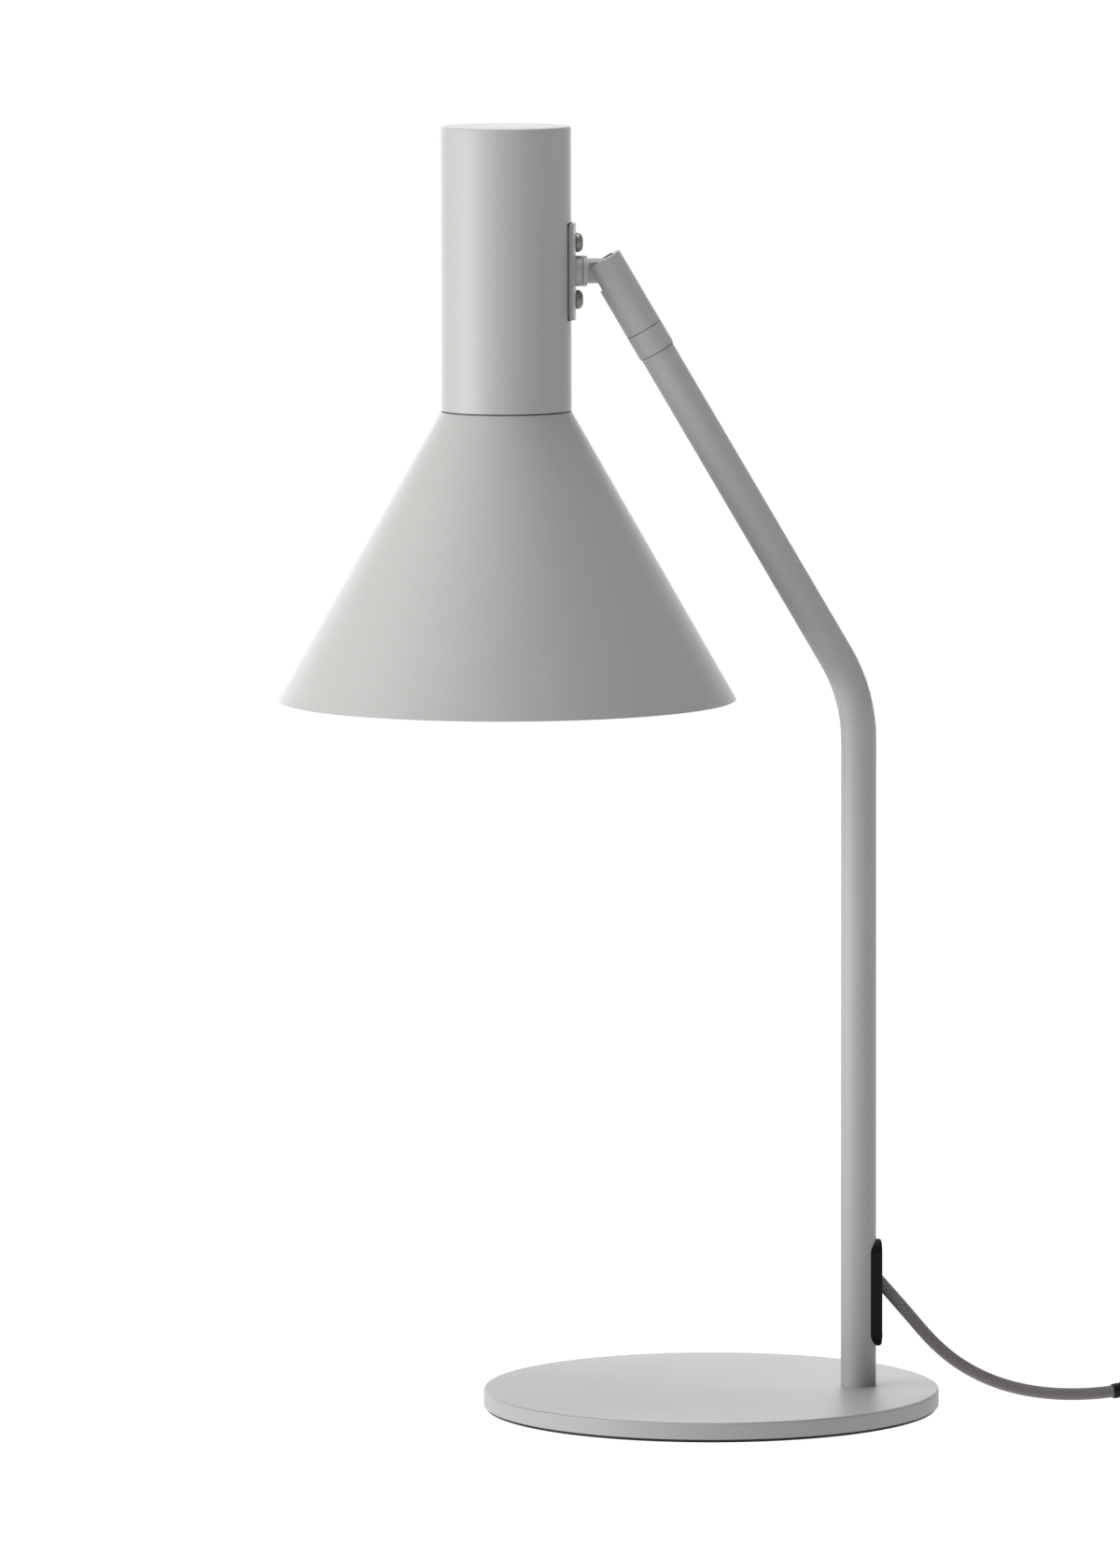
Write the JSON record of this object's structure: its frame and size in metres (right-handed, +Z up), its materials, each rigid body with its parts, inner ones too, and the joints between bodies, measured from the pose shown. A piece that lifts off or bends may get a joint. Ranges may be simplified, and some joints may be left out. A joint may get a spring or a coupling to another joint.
{
  "type": "desk lamp",
  "caption": "Desk lamp with a round base, a bent tube stem, and a tilting, turning cylindrical head with a conical shade.",
  "frame": {"origin": "on the standing plane, under the centre of the round base", "axes": "+Z up; the stem stands at +X and the head hangs over -X; the lamp's middle plane is XZ"},
  "size_m": [0.4928, 0.1932, 0.507],
  "materials": {
    "lamp_paint": "fine-textured matte powder coat, light warm grey",
    "pad_foam": "matte cellular foam",
    "zinc_steel": "zinc plated",
    "nylon": "natural nylon",
    "black_plastic": "fine moulded texture",
    "ceramic": "glazed steatite",
    "brass": "bright",
    "bulb_screw_cap": "rolled thread, satin",
    "opal_glass": "opal, satin",
    "lead_sleeve": "smooth insulation",
    "cord_textile": "braided textile sleeve, mid grey",
    "plug_metal": "nickel plated"
  },
  "bodies": {
    "stand": {"base_pad": "pad_foam", "base_plate": "lamp_paint", "cord_cover": "black_plastic", "cord_gland": "black_plastic", "cover_screw": "black_plastic", "foot_plug": "zinc_steel", "mains_cord_coil": "cord_textile", "mains_cord_lead": "cord_textile", "mains_cord_link": "cord_textile", "mains_cord_tail": "cord_textile", "plug_body": "black_plastic", "plug_pins": "plug_metal", "stem_bolt": "zinc_steel", "stem_lead": "lead_sleeve", "stem_tube": "lamp_paint", "stem_washer": "zinc_steel", "switch_base": "black_plastic", "switch_cover": "black_plastic", "switch_screws": "zinc_steel", "switch_terminals": "brass", "swivel_clip": "zinc_steel", "swivel_sleeve": "lamp_paint"},
    "arm_end": {"swivel_housing": "lamp_paint", "tilt_pin": "lamp_paint", "stop_pin": "lamp_paint", "friction_washers": "nylon"},
    "knuckle": {"tilt_knuckle": "lamp_paint", "axle_clip": "zinc_steel"},
    "head": {"saddle_plate": "lamp_paint", "saddle_screws": "lamp_paint", "roll_washer": "nylon", "head_cup": "lamp_paint", "shade_cone": "lamp_paint", "lampholder_bracket": "zinc_steel", "holder_nipple": "zinc_steel", "nipple_nut": "zinc_steel", "lampholder_cap": "black_plastic", "lampholder_skirt": "black_plastic", "shade_ring": "black_plastic", "lampholder_core": "ceramic", "lampholder_contacts": "brass", "bulb_cap": "bulb_screw_cap", "bulb_glass": "opal_glass", "terminal_block": "nylon", "head_lead": "lead_sleeve", "holder_lead": "lead_sleeve"},
    "rocker": {"switch_rocker": "black_plastic"}
  },
  "joints": [
    {"name": "arm_swivel", "type": "hinge", "parent": "stand", "child": "arm_end", "pos_m": [-0.02606, 0, 0.42715], "axis": [-0.5045, 0, 0.8634], "range_deg": [-160, 160]},
    {"name": "head_tilt", "type": "hinge", "parent": "arm_end", "child": "knuckle", "pos_m": [-0.03948, 0, 0.45012], "axis": [0, 1, 0], "range_deg": [-10, 45]},
    {"name": "head_roll", "type": "hinge", "parent": "knuckle", "child": "head", "pos_m": [-0.03948, 0, 0.45012], "axis": [1, 0, 0], "range_deg": [-90, 90]},
    {"name": "switch_rock", "type": "hinge", "parent": "stand", "child": "rocker", "pos_m": [0.214, 0.012, 0.0139], "axis": [0, 1, 0], "range_deg": [0, 14]}
  ]
}
